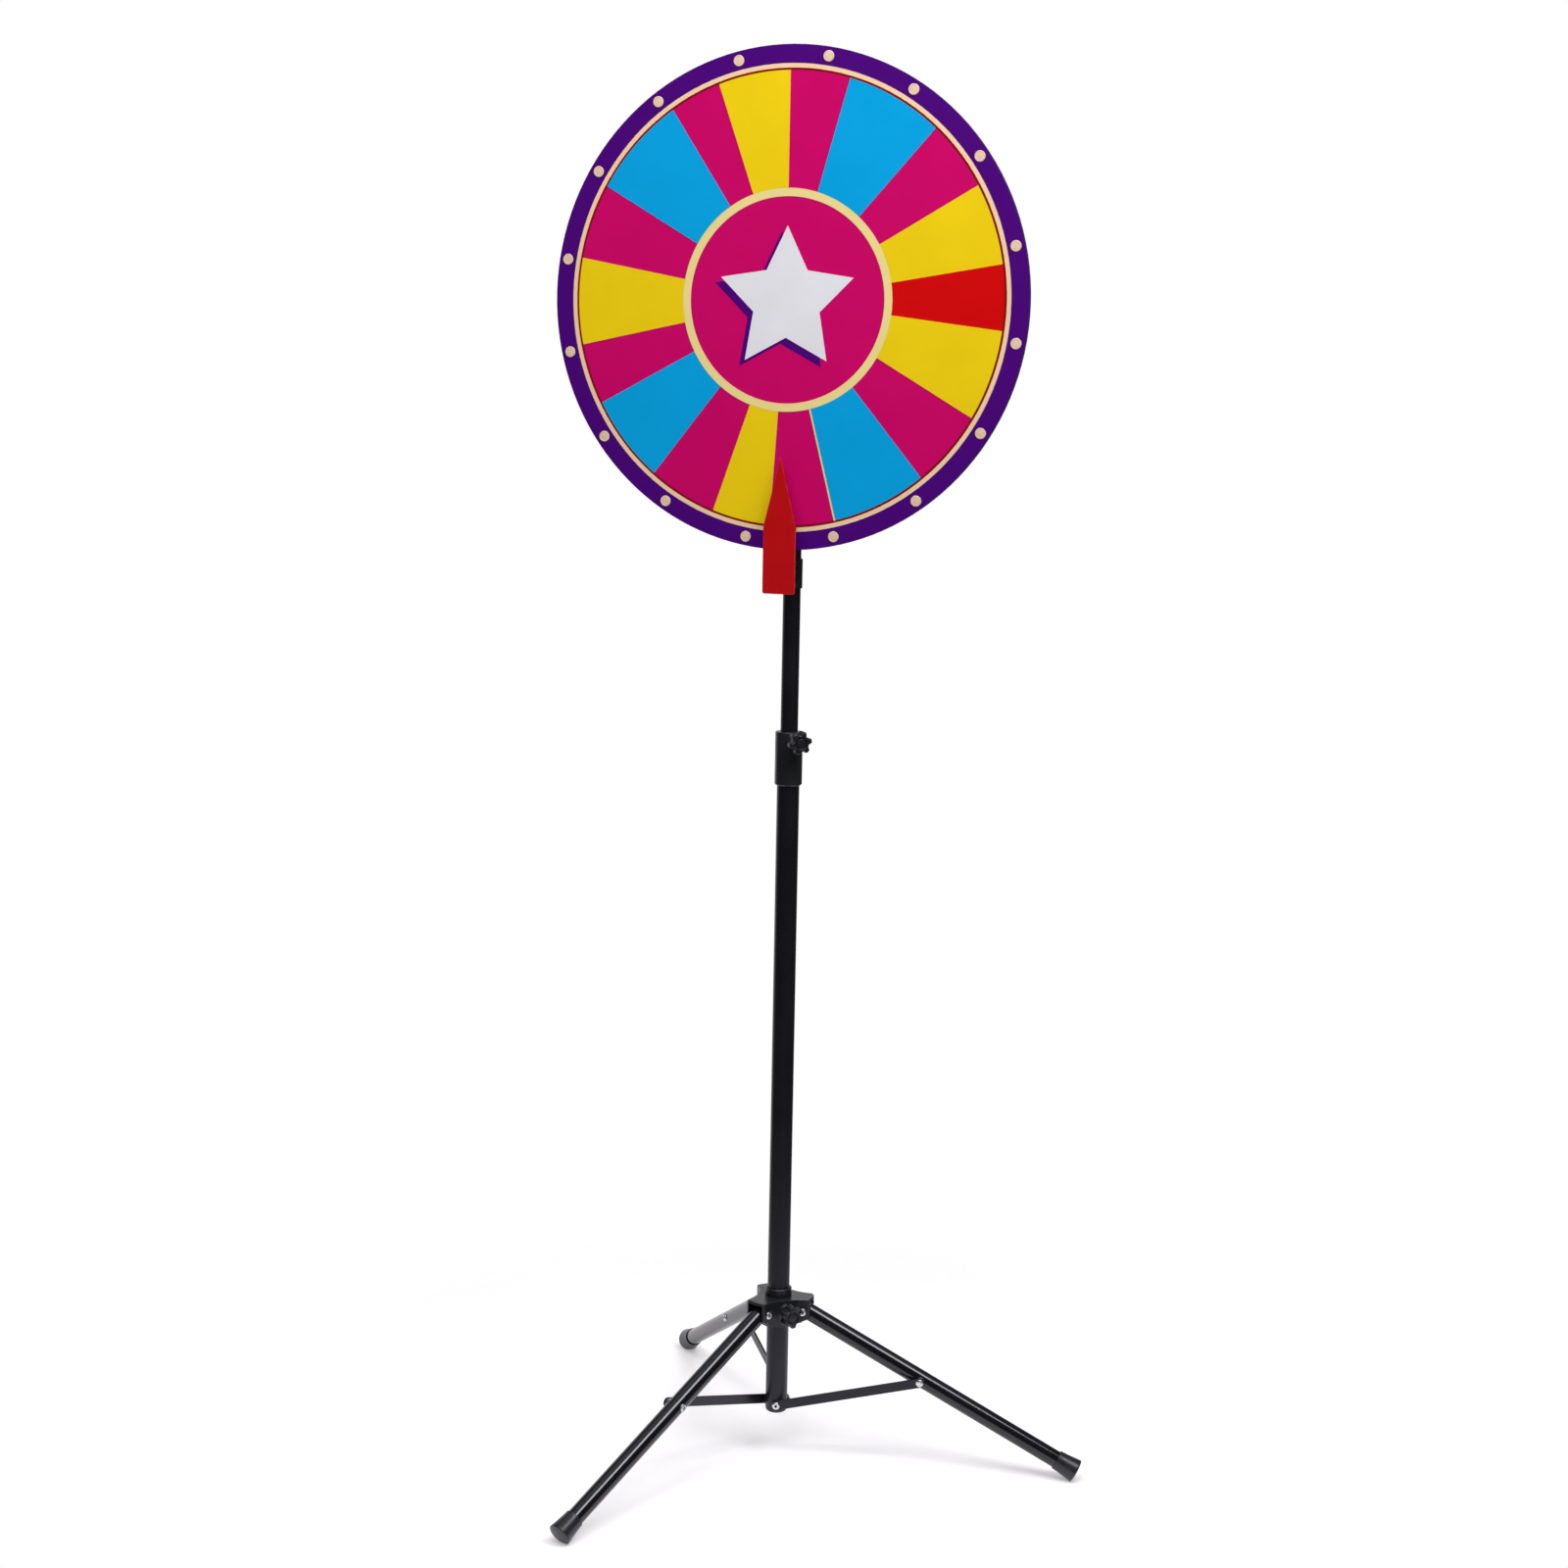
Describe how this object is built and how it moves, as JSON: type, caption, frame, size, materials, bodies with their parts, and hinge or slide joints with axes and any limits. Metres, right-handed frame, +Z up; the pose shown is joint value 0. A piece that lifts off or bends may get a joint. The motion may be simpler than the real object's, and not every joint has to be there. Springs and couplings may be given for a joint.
{
  "type": "prize wheel on tripod stand",
  "caption": "Round prize wheel with coloured segments, rim studs, a fixed pointer and a bearing hub, on a height-adjustable mast with a folding tripod floor stand.",
  "frame": {"origin": "on the floor, on the mast's axis", "axes": "+Z up along the mast, the wheel faces -Y, +X to the right of someone facing the wheel"},
  "size_m": [0.7054, 0.7008, 1.802],
  "materials": {
    "tube_black": "satin black powder coat on steel tube and bar",
    "moulding_black": "moulded black nylon",
    "knob_black": "moulded black plastic knob",
    "foot_rubber": "dark grey rubber",
    "zinc": "bright zinc plate",
    "brass": "turned brass",
    "bearing_steel": "ground bearing steel",
    "bush_white": "natural nylon",
    "board": "black painted hardboard",
    "film_purple": "printed purple vinyl film",
    "film_cream": "printed cream vinyl film",
    "film_line": "printed dark red vinyl film",
    "film_magenta": "printed magenta vinyl film",
    "film_blue": "printed blue vinyl film",
    "film_yellow": "printed yellow vinyl film",
    "film_red": "printed red vinyl film",
    "film_gold": "printed pale gold vinyl film",
    "film_white": "printed white vinyl film",
    "stud_cream": "moulded cream plastic",
    "pointer_red": "red acrylic sheet"
  },
  "bodies": {
    "stand": {"main_tube": "tube_black", "base_cup": "moulding_black", "base_rivets": "zinc", "height_collar": "moulding_black", "collar_insert": "brass"},
    "spider": {"leg_spider": "moulding_black", "leg_pins": "zinc", "spider_insert": "brass"},
    "right_leg": {"right_leg_tube": "tube_black", "right_leg_foot": "foot_rubber", "right_leg_rivet": "zinc"},
    "rear_leg": {"rear_leg_tube": "tube_black", "rear_leg_foot": "foot_rubber", "rear_leg_rivet": "zinc"},
    "left_leg": {"left_leg_tube": "tube_black", "left_leg_foot": "foot_rubber", "left_leg_rivet": "zinc"},
    "right_brace": {"right_brace_bar": "tube_black", "right_brace_rivet": "zinc"},
    "rear_brace": {"rear_brace_bar": "tube_black", "rear_brace_rivet": "zinc"},
    "left_brace": {"left_brace_bar": "tube_black", "left_brace_rivet": "zinc"},
    "height_knob": {"height_knob": "knob_black", "height_knob_screw": "zinc"},
    "clamp_knob": {"clamp_knob": "knob_black", "clamp_knob_screw": "zinc"},
    "mast_slider": {"slide_bush": "bush_white"},
    "mast": {"mast_tube": "tube_black", "mast_top_plug": "moulding_black", "mast_foot_plug": "moulding_black", "bush_stop_ring": "bearing_steel", "axle_bolt": "zinc", "axle_spacer": "zinc", "axle_washer": "moulding_black", "axle_nut": "zinc", "bearing_inner_races": "bearing_steel", "pointer_bracket": "moulding_black", "pointer_blade": "pointer_red", "blade_screws": "zinc", "bracket_lock_screw": "zinc"},
    "wheel": {"wheel_board": "board", "rim_band": "film_purple", "cream_ring": "film_cream", "border_line": "film_line", "magenta_face": "film_magenta", "blue_segments": "film_blue", "yellow_segments": "film_yellow", "red_segment": "film_red", "gold_ring": "film_gold", "star": "film_white", "star_shadow": "film_purple", "rim_studs": "stud_cream", "wheel_hub": "moulding_black", "hub_screws": "zinc", "bearing_outer_races": "bearing_steel", "bearing_balls": "bearing_steel", "bearing_shields": "bearing_steel", "bearing_circlip": "bearing_steel"}
  },
  "joints": [
    {"name": "spider_slide", "type": "slide", "parent": "stand", "child": "spider", "axis": [0, 0, 1], "range_m": [0, 0.239]},
    {"name": "right_leg_fold", "type": "hinge", "parent": "spider", "child": "right_leg", "pos_m": [0.03471, 0.00451, 0.199], "axis": [-0.1288, 0.9917, 0], "range_deg": [0, 62.6]},
    {"name": "rear_leg_fold", "type": "hinge", "parent": "spider", "child": "rear_leg", "pos_m": [-0.02126, 0.02781, 0.199], "axis": [-0.7944, -0.6074, 0], "range_deg": [0, 62.6]},
    {"name": "left_leg_fold", "type": "hinge", "parent": "spider", "child": "left_leg", "pos_m": [-0.01345, -0.03232, 0.199], "axis": [0.9232, -0.3843, 0], "range_deg": [0, 62.6]},
    {"name": "right_brace_fold", "type": "hinge", "parent": "stand", "child": "right_brace", "pos_m": [0.00298, 0.00039, 0.069], "axis": [0.1288, -0.9917, 0], "range_deg": [0, 66.2]},
    {"name": "rear_brace_fold", "type": "hinge", "parent": "stand", "child": "rear_brace", "pos_m": [-0.00182, 0.00238, 0.069], "axis": [0.7944, 0.6074, 0], "range_deg": [0, 66.2]},
    {"name": "left_brace_fold", "type": "hinge", "parent": "stand", "child": "left_brace", "pos_m": [-0.00115, -0.00277, 0.069], "axis": [-0.9232, 0.3843, 0], "range_deg": [0, 66.2]},
    {"name": "clamp_knob_turn", "type": "hinge", "parent": "spider", "child": "clamp_knob", "pos_m": [0.02946, -0.03401, 0.2005], "axis": [0.6547, -0.7559, 0], "range_deg": [0, 720]},
    {"name": "height_knob_turn", "type": "hinge", "parent": "stand", "child": "height_knob", "pos_m": [0.02292, -0.02645, 0.9498], "axis": [0.6547, -0.7559, 0], "range_deg": [0, 720]},
    {"name": "mast_height", "type": "slide", "parent": "stand", "child": "mast_slider", "axis": [0, 0, 1], "range_m": [-0.165, 0.11]},
    {"name": "mast_swivel", "type": "hinge", "parent": "mast_slider", "child": "mast", "pos_m": [0, 0, 1.2], "axis": [0, 0, 1], "continuous": true},
    {"name": "wheel_spin", "type": "hinge", "parent": "mast", "child": "wheel", "pos_m": [0, -0.0363, 1.497], "axis": [0, -1, 0], "continuous": true}
  ],
  "couplings": [
    {"joint": "right_leg_fold", "follows": "spider_slide", "rad_per_m": 4.566},
    {"joint": "rear_leg_fold", "follows": "spider_slide", "rad_per_m": 4.566},
    {"joint": "left_leg_fold", "follows": "spider_slide", "rad_per_m": 4.566},
    {"joint": "right_brace_fold", "follows": "spider_slide", "rad_per_m": 4.8232},
    {"joint": "rear_brace_fold", "follows": "spider_slide", "rad_per_m": 4.8232},
    {"joint": "left_brace_fold", "follows": "spider_slide", "rad_per_m": 4.8232}
  ]
}
